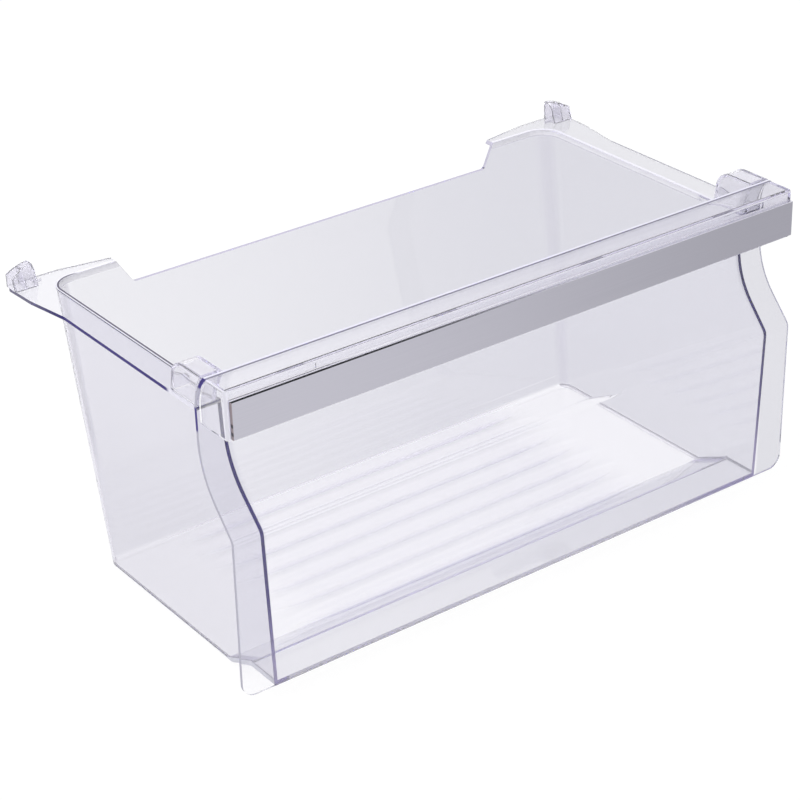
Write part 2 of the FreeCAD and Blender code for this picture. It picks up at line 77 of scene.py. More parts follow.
def node_tree(owner):
    """Empty node tree of a material or world, ready for new nodes."""
    owner.use_nodes = True
    owner.node_tree.nodes.clear()
    return owner.node_tree


def add(tree, kind, **sockets):
    """A new node of a kind, with the given input sockets set."""
    node = tree.nodes.new(kind)
    for name, value in sockets.items():
        node.inputs[name.replace("_", " ")].default_value = value
    return node


def feed(tree, value, socket):
    """Set a socket to a plain number or colour, or link another socket to it."""
    if isinstance(value, (float, tuple)):
        socket.default_value = value
    else:
        tree.links.new(value, socket)


def calculated(tree, operation, *values):
    """Result of a Math node on sockets or plain numbers."""
    math_node = add(tree, "ShaderNodeMath")
    math_node.operation = operation
    for value, socket in zip(values, math_node.inputs):
        feed(tree, value, socket)
    return math_node.outputs[0]


def largest(tree, *masks):
    """The largest of some masks, each a socket or a plain number."""
    total = masks[0]
    for mask in masks[1:]:
        total = calculated(tree, "MAXIMUM", total, mask)
    return total


def seen_directly(tree):
    """One for rays from the camera, from gloss and through clear plastic."""
    path = add(tree, "ShaderNodeLightPath")
    return largest(tree, *[path.outputs[name] for name in DIRECT_RAYS])


def between_shaders(tree, factor, first, second):
    """Shader that goes from one node's shader to another's."""
    mix = add(tree, "ShaderNodeMixShader")
    tree.links.new(factor, mix.inputs[0])
    tree.links.new(first.outputs[0], mix.inputs[1])
    tree.links.new(second.outputs[0], mix.inputs[2])
    return mix.outputs[0]


print("rays that see the white background:", DIRECT_RAYS)

# %% [markdown]
# World. More light on a pale drawer would wash it out, so the world lights it at a plain
# level. The background looks white because rays that see it directly, also by gloss and
# through clear plastic, meet a second, pure white background.

# %% World
WORLD_LEVEL = 0.85
WORLD_COLOR = (0.97, 0.975, 1.0, 1.0)

world = bpy.data.worlds.new("white_studio")
scene.world = world
tree = node_tree(world)
plain = add(tree, "ShaderNodeBackground", Color=WORLD_COLOR, Strength=WORLD_LEVEL)
white = add(tree, "ShaderNodeBackground", Color=WHITE, Strength=1.0)
out = add(tree, "ShaderNodeOutputWorld")
tree.links.new(between_shaders(tree, seen_directly(tree), plain, white), out.inputs["Surface"])
print("world:", world.name, "level", WORLD_LEVEL)

# %% [markdown]
# Floor. The drawer stands on white paper that fades into the background. The paper
# glows a little less than white and has a weak diffuse part, so the drawer still leaves a
# faint shadow on it. It lies half a millimetre low, clear of the drawer's underside.

# %% Floor
FLOOR_HALF = 6.0
FLOOR_DROP = 0.0005
FLOOR_LIFT = 0.955
PAPER_COLOR = (0.88, 0.88, 0.89, 1.0)
SHADOW_COLOR = (0.06, 0.06, 0.06, 1.0)


def white_paper(name):
    """Paper that is nearly white where it is seen and keeps a faint shadow."""
    material = bpy.data.materials.new(name)
    tree = node_tree(material)
    plain = add(tree, "ShaderNodeBsdfDiffuse", Color=PAPER_COLOR)
    glow = add(tree, "ShaderNodeEmission", Color=WHITE, Strength=FLOOR_LIFT)
    shadowed = add(tree, "ShaderNodeBsdfDiffuse", Color=SHADOW_COLOR)
    lifted = add(tree, "ShaderNodeAddShader")
    tree.links.new(shadowed.outputs[0], lifted.inputs[0])
    tree.links.new(glow.outputs[0], lifted.inputs[1])
    out = add(tree, "ShaderNodeOutputMaterial")
    tree.links.new(between_shaders(tree, seen_directly(tree), plain, lifted), out.inputs["Surface"])
    return material


sheet = bmesh.new()
bmesh.ops.create_grid(sheet, x_segments=1, y_segments=1, size=FLOOR_HALF)
floor_mesh = bpy.data.meshes.new("studio_floor")
sheet.to_mesh(floor_mesh)
sheet.free()
floor_mesh.materials.append(white_paper("white_paper"))
studio_floor = bpy.data.objects.new("studio_floor", floor_mesh)
studio_floor.location.z = -FLOOR_DROP
scene.collection.objects.link(studio_floor)
print("floor:", len(floor_mesh.polygons), "face,", 2.0 * FLOOR_HALF, "m wide")

# %% [markdown]
# Light paths. Light runs round inside a moulded edge many times before it leaves. With
# Blender's usual limit such a path ends early and the edge goes black, so the limit is
# raised for clear plastic and for gloss.

# %% Light paths
LONGEST_PATH = 100
scene.cycles.max_bounces = LONGEST_PATH
scene.cycles.transmission_bounces = LONGEST_PATH
scene.cycles.glossy_bounces = LONGEST_PATH
print("longest light path:", LONGEST_PATH)

# %% [markdown]
# Lamps. Two large soft lamps stand over the drawer and at its left. A sun or a small lamp
# would throw sharp spots on clear plastic, and large squares give the broad, weak gloss
# of a light tent.

# %% Lamps
LAMP_TARGET = Vector((0.0, 0.0, 0.1))
LAMPS = {
    "top_lamp": {"place": (-0.4, 0.3, 2.2), "size": 1.6, "power": 24.0},
    "left_lamp": {"place": (-2.0, -0.6, 1.3), "size": 1.2, "power": 10.0},
}


def soft_lamp(name, place, size, power):
    """Square area lamp that looks at the middle of the drawer."""
    data = bpy.data.lights.new(name, "AREA")
    data.size = size
    data.energy = power
    lamp = bpy.data.objects.new(name, data)
    scene.collection.objects.link(lamp)
    lamp.location = place
    lamp.rotation_euler = (LAMP_TARGET - Vector(place)).to_track_quat("-Z", "Y").to_euler()


for name, values in LAMPS.items():
    soft_lamp(name, **values)
    print(name, "watts", values["power"], "side in metres", values["size"])

# %% [markdown]
# Masks. Parts of one moulding look different: its faces, its edges, its foot. They could
# be given separate materials by face, but the frame's meshes stay as they are. So each
# part is found by its place on the piece and by the way its surface faces. A mask is a
# smooth step of such a value, and a pair of numbers says where it is zero and where one.

# %% Mask helpers


def ramp(tree, value, low, high):
    """Smooth step of a value, zero at low and one at high."""
    step = add(tree, "ShaderNodeMapRange", From_Min=low, From_Max=high)
    step.interpolation_type = "SMOOTHSTEP"
    tree.links.new(value, step.inputs["Value"])
    return step.outputs["Result"]


def product(tree, *values):
    """Values multiplied together, the first of them a socket."""
    total = values[0]
    for value in values[1:]:
        total = calculated(tree, "MULTIPLY", total, value)
    return total


def band(tree, value, rise, fall):
    """One from the end of the rise to the end of the fall, each a pair for ramp."""
    return product(tree, ramp(tree, value, *rise), ramp(tree, value, *fall))


def outside(tree, mask):
    """One where a mask is zero."""
    return ramp(tree, mask, 1.0, 0.0)


def absolute(tree, value):
    """Value without its sign."""
    return calculated(tree, "ABSOLUTE", value)


def split_axes(tree, output):
    """X, Y and Z of an output of the Texture Coordinate node."""
    coordinates = add(tree, "ShaderNodeTexCoord")
    split = add(tree, "ShaderNodeSeparateXYZ")
    tree.links.new(coordinates.outputs[output], split.inputs[0])
    return split.outputs


def object_place(tree):
    """X, Y and Z of the point on the piece, in metres."""
    return split_axes(tree, "Object")


def object_normal(tree):
    """X, Y and Z of the way that the surface faces."""
    return split_axes(tree, "Normal")


print("masks read Object and Normal coordinates, so they stay in place from any side")

# %% [markdown]
# Colours and layers. A colour may be one value or come from the graph, and layers of
# paint lie over each other: each has a mask, a colour and a share that says how solid
# its paint is. The painter gives back how solid the surface is, and its colour.

# %% Colour helpers
MIX_COLOR_A = 6
MIX_COLOR_B = 7
MIX_COLOR_RESULT = 2
DRAWER_HALF_WIDTH = 0.23
FULL_SHARE = 1.0


def mixed(tree, factor, first, second):
    """Colour between two colours, each given as a value or as a socket."""
    mix = add(tree, "ShaderNodeMix")
    mix.data_type = "RGBA"
    tree.links.new(factor, mix.inputs["Factor"])
    feed(tree, first, mix.inputs[MIX_COLOR_A])
    feed(tree, second, mix.inputs[MIX_COLOR_B])
    return mix.outputs[MIX_COLOR_RESULT]


def painted(tree, mask, color, *layers):
    """How solid the paint is, and its colour, with layers over a first one."""
    shares = [mask]
    for layer_mask, layer_color, share in layers:
        color = mixed(tree, layer_mask, color, layer_color)
        shares.append(product(tree, layer_mask, share))
    return largest(tree, *shares), color


def left_to_right(tree, left, right):
    """Tint that changes evenly from the drawer's left end to its right end.

    The photograph's light comes from the left, so the same plastic looks a little
    darker at the right end.
    """
    # Where a pair is darker at its right end, that darker end is painted shade.
    across = ramp(tree, object_place(tree)["X"], -DRAWER_HALF_WIDTH, DRAWER_HALF_WIDTH)
    return mixed(tree, across, left, right)


print("tints run over", 2.0 * DRAWER_HALF_WIDTH, "m")

# %% [markdown]
# Clear plastic. The drawer is moulded from a clear plastic with a faint lavender tint.
# A thin wall hardly darkens what is behind it, but an edge seen end-on shows light that
# has run a long way inside the wall, and it looks dark violet. Refraction with an
# absorbing inside gives the start of both in one material, and the edges get paint over
# it later. The moulding isn't perfectly flat, so a slow noise bends its gloss a little.

# %% Clear plastic
PLASTIC_IOR = 1.5
ABSORB_COLOR = (0.60, 0.54, 0.90, 1.0)
ABSORB_DENSITY = 22.0
CLEARNESS = 0.992
EDGE_CLEARNESS = 0.2
FACE_GLOSS = 0.5
EDGE_GLOSS = 0.05
PLASTIC_ROUGHNESS = 0.015
WAVE_SCALE = 9.0
WAVE_DETAIL = 2.0
WAVE_ROUGHNESS = 0.5
WAVE_STRENGTH = 0.06
WAVE_DEPTH = 0.001


def from_mask(tree, mask, at_zero, at_one, socket):
    """Drive a socket from one value to another with a mask."""
    values = add(tree, "ShaderNodeMapRange", To_Min=at_zero, To_Max=at_one)
    tree.links.new(mask, values.inputs["Value"])
    tree.links.new(values.outputs["Result"], socket)


def soft_waves(tree):
    """Normal of a moulded face that is slightly uneven."""
    coordinates = add(tree, "ShaderNodeTexCoord")
    waves = add(tree, "ShaderNodeTexNoise", Scale=WAVE_SCALE, Detail=WAVE_DETAIL, Roughness=WAVE_ROUGHNESS)
    bump = add(tree, "ShaderNodeBump", Strength=WAVE_STRENGTH, Distance=WAVE_DEPTH)
    tree.links.new(coordinates.outputs["Object"], waves.inputs["Vector"])
    tree.links.new(waves.outputs["Fac"], bump.inputs["Height"])
    return bump.outputs["Normal"]


def clear_plastic(name, tint, edge=None, clearness=CLEARNESS, density=ABSORB_DENSITY):
    """See-through moulded plastic.

    tint is its colour, with any painted shade or light in it, or a function that gives the
    colour's socket. edge gives the socket that is one on narrow edge faces, and their colour.
    """
    material = bpy.data.materials.new(name)
    tree = node_tree(material)
    shader = add(tree, "ShaderNodeBsdfPrincipled", IOR=PLASTIC_IOR, Roughness=PLASTIC_ROUGHNESS)
    shader.inputs["Transmission Weight"].default_value = clearness
    # The tint may carry painted shade and painted light as well as the plastic's own colour.
    color = tint(tree) if callable(tint) else tint
    if edge:
        mask, edge_color = edge(tree)
        color = mixed(tree, mask, color, edge_color)
        from_mask(tree, mask, clearness, EDGE_CLEARNESS, shader.inputs["Transmission Weight"])
        from_mask(tree, mask, FACE_GLOSS, EDGE_GLOSS, shader.inputs["Specular IOR Level"])
    feed(tree, color, shader.inputs["Base Color"])
    tree.links.new(soft_waves(tree), shader.inputs["Normal"])
    absorb = add(tree, "ShaderNodeVolumeAbsorption", Color=ABSORB_COLOR, Density=density)
    out = add(tree, "ShaderNodeOutputMaterial")
    tree.links.new(shader.outputs[0], out.inputs["Surface"])
    tree.links.new(absorb.outputs[0], out.inputs["Volume"])
    print(name, "clearness", clearness, "density", density, "nodes", len(tree.nodes))
    return material


# %% [markdown]
# Grip cap. The grip's cap is a thin clear shell with a faint tint, darkened towards the
# right by painted shade. Its rounded front edge and the narrow lips beside the trim catch
# the light and look pale, a dark line of painted shadow runs under the left lip, in the
# gap above the trim, and the right end has a fine line along its front top edge. A fine
# line could be a groove in the mesh, but it is thinner than a wall, so it is painted by place.

# %% Cap plastic
CAP_DENSITY = 13.0
# Clear at the left end, darker at the right end by painted shade.
CAP_TINT_AND_SHADE = (1.0, 1.0, 1.0, 1.0), (0.84, 0.835, 0.87, 1.0)
PALE_EDGE = (0.76, 0.75, 0.81, 1.0)
# Painted shadow line in the gap under the cap's left lip, above the trim.
LIP_SHADOW = (0.16, 0.15, 0.18, 1.0)
FRONT_TOP_LINE = (0.40, 0.37, 0.50, 1.0)

SLOPES_UP = (0.1, 0.3), (0.98, 0.9)
LIES_LEVEL = (0.95, 0.98)
FACES_FRONT = (-0.3, -0.7)
FACES_LEFT = (-0.5, -0.8)
FLAT_FRONT = (-0.5, -0.8)

CAP_TOP_HEIGHT = (0.226, 0.228)
CAP_END = (0.2276, 0.2282)
LIP_FRONT = (-0.1215, -0.1235)
GROOVE_FRONT = (-0.1236, -0.1242)
END_TOP_HEIGHT = (0.2284, 0.2291)
LIP_LINE_HEIGHTS = (0.2236, 0.2239), (0.2247, 0.2244)
LIP_LINE_FADE = (-0.13, -0.16)
LIP_LINE_END = (0.2282, 0.2278)
LIP_LINE_FRONT = (-0.1262, -0.1270)
FRONT_TOP_LINE_FRONT = (-0.1259, -0.1262)
FRONT_TOP_LINE_RIGHT = (0.17, 0.20)


def cap_tint_and_shade(tree):
    """Faint tint of the grip cap, with painted shade that darkens it towards the right."""
    return left_to_right(tree, *CAP_TINT_AND_SHADE)


def cap_edge(tree):
    """Pale rounded edge and lips of the cap, with its fine front line and a painted shadow line under the
    left lip.
    """
    normal = object_normal(tree)
    place = object_place(tree)
    side = absolute(tree, place["X"])
    high = ramp(tree, place["Z"], *CAP_TOP_HEIGHT)
    rounded = product(tree, band(tree, normal["Z"], *SLOPES_UP), high)
    end = ramp(tree, side, *CAP_END)
    lip = product(tree, end, ramp(tree, place["Y"], *LIP_FRONT), ramp(tree, normal["Y"], *FACES_FRONT))
    left_face = ramp(tree, normal["X"], *FACES_LEFT)
    groove_end = product(tree, end, left_face, ramp(tree, place["Y"], *GROOVE_FRONT))
    end_top = product(tree, end, left_face, ramp(tree, place["Z"], *END_TOP_HEIGHT))
    lip_shadow = product(
        tree, ramp(tree, normal["Y"], *FLAT_FRONT), band(tree, place["Z"], *LIP_LINE_HEIGHTS),
        ramp(tree, place["X"], *LIP_LINE_FADE), ramp(tree, side, *LIP_LINE_END),
        ramp(tree, place["Y"], *LIP_LINE_FRONT),
    )
    top_line = product(
        tree, ramp(tree, normal["Z"], *LIES_LEVEL), high,
        ramp(tree, place["Y"], *FRONT_TOP_LINE_FRONT), ramp(tree, place["X"], *FRONT_TOP_LINE_RIGHT),
    )
    return painted(
        tree, largest(tree, rounded, lip, groove_end, end_top), PALE_EDGE,
        (lip_shadow, LIP_SHADOW, FULL_SHARE), (top_line, FRONT_TOP_LINE, FULL_SHARE),
    )


cap_finish = clear_plastic("clear_cap_plastic", cap_tint_and_shade, cap_edge, density=CAP_DENSITY)

# %% [markdown]
# Small pieces. The corner blocks and the rear stops are small hollow mouldings, which
# look milkier than the rest. More inner walls could be modelled, but the photograph shows
# them only as a blur, so a slightly less clear plastic stands for them.

# %% Blocks and stops
SMALL_DENSITY = 18.0
BLOCK_CLEARNESS = 0.93
STOP_CLEARNESS = 0.84
# The right block is darker than the left by painted shade.
BLOCK_TINT_AND_SHADE = (0.99, 0.985, 1.0, 1.0), (0.92, 0.915, 0.945, 1.0)
STOP_TINT = (0.94, 0.93, 0.98, 1.0)


def block_tint_and_shade(tree):
    """Tint of the corner blocks, with painted shade that darkens the right block."""
    return left_to_right(tree, *BLOCK_TINT_AND_SHADE)


block_finish = clear_plastic(
    "clear_block_plastic", block_tint_and_shade, clearness=BLOCK_CLEARNESS, density=SMALL_DENSITY,
)
stop_finish = clear_plastic(
    "clear_stop_plastic", STOP_TINT, clearness=STOP_CLEARNESS, density=SMALL_DENSITY,
)

# %% [markdown]
# The floor's ribs read as broad pale crests with soft grey valleys between them. The CAD
# holds their form, and a cosine along Y, with the ribs' own pitch, adds painted shade in
# the valleys, standing in for the shading that the ribs get by bending and reflecting light.

# %% Rib valleys
RIB_PITCH = 0.0225
FIRST_RIB_Y = -0.058
LAST_RIB_Y = 0.077
RIB_FADE = (0.165, 0.105)
VALLEY_SHARE = (0.6, -1.0)
FACES_UP = (0.5, 0.9)


def rib_valleys(tree):
    """One in the valleys between the ribs and zero on their crests and elsewhere."""
    place = object_place(tree)
    from_first = calculated(tree, "SUBTRACT", place["Y"], FIRST_RIB_Y)
    turns = calculated(tree, "MULTIPLY", from_first, 2.0 * math.pi / RIB_PITCH)
    valley = ramp(tree, calculated(tree, "COSINE", turns), *VALLEY_SHARE)
    ends = ramp(tree, absolute(tree, place["X"]), *RIB_FADE)
    front = ramp(tree, place["Y"], FIRST_RIB_Y - RIB_PITCH, FIRST_RIB_Y)
    rear = ramp(tree, place["Y"], LAST_RIB_Y + RIB_PITCH, LAST_RIB_Y)
    return product(tree, valley, ends, front, rear, ramp(tree, object_normal(tree)["Z"], *FACES_UP))


print("ribs:", round((LAST_RIB_Y - FIRST_RIB_Y) / RIB_PITCH) + 1)

# %% [markdown]
# Tub faces. The floor looks clearer than the walls, because it lies on the pale surface
# below. The left wall is the clearest wall, and the rear and right walls darken towards
# the right: the light comes from the left, so this darkening is painted shade, and the
# right corner is darkened more by painted shade. The flat rim on top is seen against the
# white behind the drawer, and it too is darker to the right by painted shade. A separate
# material for each would leave hard borders, so heights and places mix their tints.

# %% Tub tint
CLEAR_TINT = (1.0, 1.0, 1.0, 1.0)
# Painted shade in the valleys between the floor's ribs.
VALLEY_SHADE = (0.87, 0.87, 0.89, 1.0)
LEFT_WALL_TINTS = (0.83, 0.825, 0.855, 1.0), (0.89, 0.885, 0.91, 1.0)
# The rear and right walls darken towards the right by painted shade.
REAR_WALL_TINT_AND_SHADE = (0.85, 0.85, 0.87, 1.0), (0.735, 0.735, 0.775, 1.0)
# Painted shade for the tub's right corner.
CORNER_SHADE = (0.64, 0.63, 0.70, 1.0)
# The rim darkens towards the right by painted shade.
RIM_TINT_AND_SHADE = (0.93, 0.93, 0.95, 1.0), (0.80, 0.80, 0.82, 1.0)
LEFT_WALL_HEIGHTS = (0.03, 0.18)
LEFT_TO_REAR = (-0.205, -0.194)
CORNER_SLANT = (0.1, 0.8)
RIGHT_PART = (-0.1, 0.1)
ABOVE_FLOOR = (0.003, 0.0055)
RIM_HEIGHTS = (0.2046, 0.2051)


def tub_tint_and_shade(tree):
    """Tint of the walls, with painted shade towards the right and in the right corner, nearly clear on the
    floor apart from painted shade in the rib valleys.
    """
    place = object_place(tree)
    normal = object_normal(tree)
    left = mixed(tree, ramp(tree, place["Z"], *LEFT_WALL_HEIGHTS), *LEFT_WALL_TINTS)
    rear = left_to_right(tree, *REAR_WALL_TINT_AND_SHADE)
    walls = mixed(tree, ramp(tree, place["X"], *LEFT_TO_REAR), left, rear)
    slant = absolute(tree, product(tree, normal["X"], normal["Y"]))
    corner = product(tree, ramp(tree, slant, *CORNER_SLANT), ramp(tree, place["X"], *RIGHT_PART))
    shaded = mixed(tree, corner, walls, CORNER_SHADE)
    floor_with_valley_shade = mixed(tree, rib_valleys(tree), CLEAR_TINT, VALLEY_SHADE)
    below_rim = mixed(tree, ramp(tree, place["Z"], *ABOVE_FLOOR), floor_with_valley_shade, shaded)
    return mixed(tree, ramp(tree, place["Z"], *RIM_HEIGHTS), below_rim, left_to_right(tree, *RIM_TINT_AND_SHADE))


print("tub tints:", len(LEFT_WALL_TINTS + REAR_WALL_TINT_AND_SHADE + RIM_TINT_AND_SHADE))

# %% [markdown]
# Tub edges. Light that is caught inside a clear wall comes out at its narrow edges, so
# the edges show the plastic's own violet far more than its faces do. They could be left
# to refraction alone, but each line in the photograph has its own strength. So each edge
# is found by its place and its facing, and painted as a tinted, less clear surface. All
# of them read the same few values, which are gathered once here.

# %% Surface of the tub
LEANS = (0.3, 0.5)
STEEP = (0.5, 0.3)
SIDEWAYS = (0.4, 0.7)
NEARLY_LEVEL = (0.8, 0.95)
FRONT_PART = (-0.05, -0.06)
REAR_PART = (0.095, 0.10)
LEFT_HALF = (0.05, -0.05)
INNER_HALF_WIDTH = 0.2125
INNER_REAR_Y = 0.1161
INNER_CORNER_RADIUS = 0.0155


def from_inner_edge(tree, place, side):
    """Distance in plan from the rim's inner edge, outwards."""
    beyond_side = calculated(tree, "SUBTRACT", side, INNER_HALF_WIDTH - INNER_CORNER_RADIUS)
    beyond_rear = calculated(tree, "SUBTRACT", place["Y"], INNER_REAR_Y - INNER_CORNER_RADIUS)
    corner = add(tree, "ShaderNodeCombineXYZ")
    tree.links.new(calculated(tree, "MAXIMUM", beyond_side, 0.0), corner.inputs["X"])
    tree.links.new(calculated(tree, "MAXIMUM", beyond_rear, 0.0), corner.inputs["Y"])
    length = add(tree, "ShaderNodeVectorMath")
    length.operation = "LENGTH"
    tree.links.new(corner.outputs[0], length.inputs[0])
    return calculated(tree, "SUBTRACT", length.outputs["Value"], INNER_CORNER_RADIUS)


def tub_surface(tree):
    """Values that the tub's edge masks share, each a socket.

    x, y, z and side are places in metres. across, along and level say how far the
    surface faces along X, Y and Z. The others are masks, and inside is the distance
    from the rim's inner edge.
    """
    place = object_place(tree)
    normal = object_normal(tree)
    side = absolute(tree, place["X"])
    level = absolute(tree, normal["Z"])
    return SimpleNamespace(
        x=place["X"],
        y=place["Y"],
        z=place["Z"],
        side=side,
        across=absolute(tree, normal["X"]),
        along=absolute(tree, normal["Y"]),
        level=level,
        upright=ramp(tree, level, *STEEP),
        front=ramp(tree, place["Y"], *FRONT_PART),
        rear=ramp(tree, place["Y"], *REAR_PART),
        on_rim=ramp(tree, place["Z"], *RIM_HEIGHTS),
        inside=from_inner_edge(tree, place, side),
    )


print("opening of the tub in metres:", 2.0 * INNER_HALF_WIDTH)

# %% [markdown]
# Joint. The tub's front edges butt on the back of the front panel. On the two walls this
# joint is the strongest line on the drawer, deep violet above and paler near the floor.
# Along the shelf it is pale, and it turns violet at the right end.

# %% Joint with the panel
JOINT_LOW = (0.55, 0.49, 0.76, 1.0)
JOINT_HIGH = (0.05, 0.02, 0.32, 1.0)
JOINT_HEIGHTS = (0.025, 0.085)
RIM_END_STRIP = (0.82, 0.81, 0.87, 1.0)
RIM_END_HEIGHTS = (0.2063, 0.2058)
SHELF_JOINT = (0.99, 0.98, 1.0, 1.0)
SHELF_JOINT_RIGHT = (0.55, 0.49, 0.80, 1.0)
SHELF_VIOLET_FROM = (0.08, 0.19)
ON_WALL = (0.196, 0.199)
ON_SHELF = (0.199, 0.196)
SHELF_FACES_FRONT = (0.5, 0.7)


def joint_paint(tree, tub):
    """Mask and colour of the faces that butt on the panel."""
    on_wall = ramp(tree, tub.side, *ON_WALL)
    wall_joint = product(tree, tub.front, on_wall, ramp(tree, tub.along, *LEANS))
    shelf_joint = product(
        tree, tub.front, ramp(tree, tub.side, *ON_SHELF), ramp(tree, tub.along, *SHELF_FACES_FRONT),
    )
    violet = mixed(tree, ramp(tree, tub.z, *JOINT_HEIGHTS), JOINT_LOW, JOINT_HIGH)
    rim_end = band(tree, tub.z, RIM_HEIGHTS, RIM_END_HEIGHTS)
    wall = mixed(tree, rim_end, violet, RIM_END_STRIP)
    shelf = mixed(tree, ramp(tree, tub.x, *SHELF_VIOLET_FROM), SHELF_JOINT, SHELF_JOINT_RIGHT)
    return largest(tree, wall_joint, shelf_joint), mixed(tree, on_wall, shelf, wall)


print("joint turns violet between heights", JOINT_HEIGHTS)

# %% [markdown]
# Rim and wall tops. The rim's outer face is a fine dark line on the left side, fading to
# the rear, and pale elsewhere. The top of the walls shows as a pale band inside the rim,
# with a thin line along the left wall and a bright strip just under it.

# %% Rim and wall tops
RIM_OUTER_FACE = (0.003, 0.004)
RIM_SIDE_FRONT = (0.02, 0.012, 0.13, 1.0)
RIM_SIDE_BACK = (0.15, 0.14, 0.21, 1.0)
RIM_SIDE_PALE = (0.72, 0.71, 0.77, 1.0)
RIM_SIDE_FADE = (0.06, 0.11)
RIM_LINE_START = (-0.066, -0.061)
RIM_REAR_SHARE = 0.7
RIM_RIGHT_SHARE = 0.35
WALL_TOP = (0.78, 0.77, 0.83, 1.0)
WALL_TOP_END = (0.0027, 0.0024)
WALL_TOP_LINE = (0.12, 0.11, 0.15, 1.0)
WALL_TOP_LINE_WIDTH = (0.0001, 0.0003), (0.0017, 0.0014)
WALL_TOP_LINE_LEFT = (-0.190, -0.197)
WALL_STRIP = (0.88, 0.87, 0.91, 1.0)
WALL_STRIP_HEIGHT = (0.2030, 0.2038)
WALL_STRIP_END = (0.0014, 0.0008)
WALL_STRIP_RIGHT = (-0.2112, -0.2100)


def rim_side_paint(tree, tub):
    """Outer faces of the rim, strong on the left side and faint elsewhere."""
    sideways = ramp(tree, tub.across, *SIDEWAYS)
    on_left = ramp(tree, tub.x, *LEFT_HALF)
    mask = product(
        tree, tub.upright, tub.on_rim, ramp(tree, tub.inside, *RIM_OUTER_FACE),
        largest(tree, sideways, outside(tree, tub.front)),
    )
    dark_part = product(tree, sideways, on_left, ramp(tree, tub.y, *RIM_LINE_START))
    left_side = mixed(tree, ramp(tree, tub.y, *RIM_SIDE_FADE), RIM_SIDE_FRONT, RIM_SIDE_BACK)
    share = product(
        tree, largest(tree, sideways, RIM_REAR_SHARE), largest(tree, on_left, RIM_RIGHT_SHARE),
    )
    return mask, mixed(tree, dark_part, RIM_SIDE_PALE, left_side), share


def wall_top_paint(tree, tub):
    """Top of the walls inside the rim, with a thin line along the left wall."""
    mask = product(
        tree, ramp(tree, tub.level, *NEARLY_LEVEL), tub.on_rim, ramp(tree, tub.inside, *WALL_TOP_END),
    )
    line = product(
        tree, band(tree, tub.inside, *WALL_TOP_LINE_WIDTH), ramp(tree, tub.x, *WALL_TOP_LINE_LEFT),
    )
    return mask, mixed(tree, line, WALL_TOP, WALL_TOP_LINE), FULL_SHARE


def wall_strip_paint(tree, tub):
    """Bright strip on the inside of the left wall, just under its top."""
    mask = product(
        tree, ramp(tree, tub.z, *WALL_STRIP_HEIGHT), tub.upright, ramp(tree, tub.inside, *WALL_STRIP_END),
        outside(tree, tub.front), ramp(tree, tub.x, *WALL_STRIP_RIGHT),
    )
    return mask, WALL_STRIP, FULL_SHARE


print("rim line fades between depths", RIM_SIDE_FADE)

# %% [markdown]
# Cut-out. The rear wall is cut low in its middle. The cut's long level edge is a soft
# violet line, and its two short ends are dark at the left and pale at the right.

# %% Cut-out in the rear wall
CUTOUT_HEIGHT = (0.185, 0.188)
SILL_TOP = (0.196, 0.193)
REAR_EDGE = (0.55, 0.52, 0.64, 1.0)
CUTOUT_ENDS = (0.16, 0.145, 0.20, 1.0), (0.60, 0.58, 0.68, 1.0)
CUTOUT_END_FACING = (0.6, 0.8)
CUTOUT_INSIDE = (0.18, 0.17)


def sill_paint(tree, tub):
    """Top of the rear wall in the cut-out."""
    mask = product(
        tree, tub.rear, band(tree, tub.z, CUTOUT_HEIGHT, SILL_TOP), ramp(tree, tub.level, *NEARLY_LEVEL),
    )
    return mask, REAR_EDGE, FULL_SHARE


def cutout_end_paint(tree, tub):
    """The cut-out's two ends."""
    mask = product(
        tree, tub.rear, ramp(tree, tub.z, *CUTOUT_HEIGHT),
        ramp(tree, tub.across, *CUTOUT_END_FACING), ramp(tree, tub.side, *CUTOUT_INSIDE),
    )
    return mask, left_to_right(tree, *CUTOUT_ENDS), FULL_SHARE


print("cut-out starts at height", CUTOUT_HEIGHT[1])

# %% [markdown]
# Foot and bend. At the foot of the walls the floor's thickness shows end-on. The foot
# follows the underside, which rises with the ramp to the shelf at the front. The bend
# between ramp and shelf would show a hard violet line, where the real one is faint, so
# a thin part of it is painted pale.

# %% Foot of the walls and bend of the shelf
RAMP_START_Y = -0.068
RAMP_END_Y = -0.097
SHELF_HEIGHT = 0.013
FOOT_HEIGHT = (0.0040, 0.0034)
FOOT_EDGES = (0.70, 0.70, 0.75, 1.0), (0.68, 0.68, 0.73, 1.0)
FLAT_FOOT = (1.0, 0.99, 1.0, 1.0)
FLAT_FOOT_FROM = (RAMP_START_Y - 0.006, RAMP_START_Y + 0.006)
BEND_TINT = (0.80, 0.79, 0.85, 1.0)
BEND_SHARE = 0.7
BEND_REACH = (0.0009, 0.0005)
BEND_HEIGHTS = (0.0140, 0.0145), (0.0180, 0.0170)


def above_underside(tree, tub):
    """Height above the underside, which rises under the ramp and the shelf."""
    rise = add(tree, "ShaderNodeMapRange", From_Min=RAMP_START_Y, From_Max=RAMP_END_Y, To_Max=SHELF_HEIGHT)
    tree.links.new(tub.y, rise.inputs["Value"])
    return calculated(tree, "SUBTRACT", tub.z, rise.outputs["Result"])


def foot_paint(tree, tub):
    """Foot of the walls, on the faces that look outwards."""
    rear_face = product(tree, ramp(tree, tub.along, *LEANS), tub.rear)
    outward = largest(tree, ramp(tree, tub.across, *LEANS), rear_face)
    mask = product(tree, outward, ramp(tree, above_underside(tree, tub), *FOOT_HEIGHT))
    color = mixed(tree, ramp(tree, tub.y, *FLAT_FOOT_FROM), left_to_right(tree, *FOOT_EDGES), FLAT_FOOT)
    return mask, color, FULL_SHARE


def bend_paint(tree, tub):
    """Thin part of the bend between the ramp and the shelf."""
    distance = absolute(tree, calculated(tree, "SUBTRACT", tub.y, RAMP_END_Y))
    mask = product(tree, ramp(tree, distance, *BEND_REACH), band(tree, tub.z, *BEND_HEIGHTS))
    return mask, BEND_TINT, BEND_SHARE


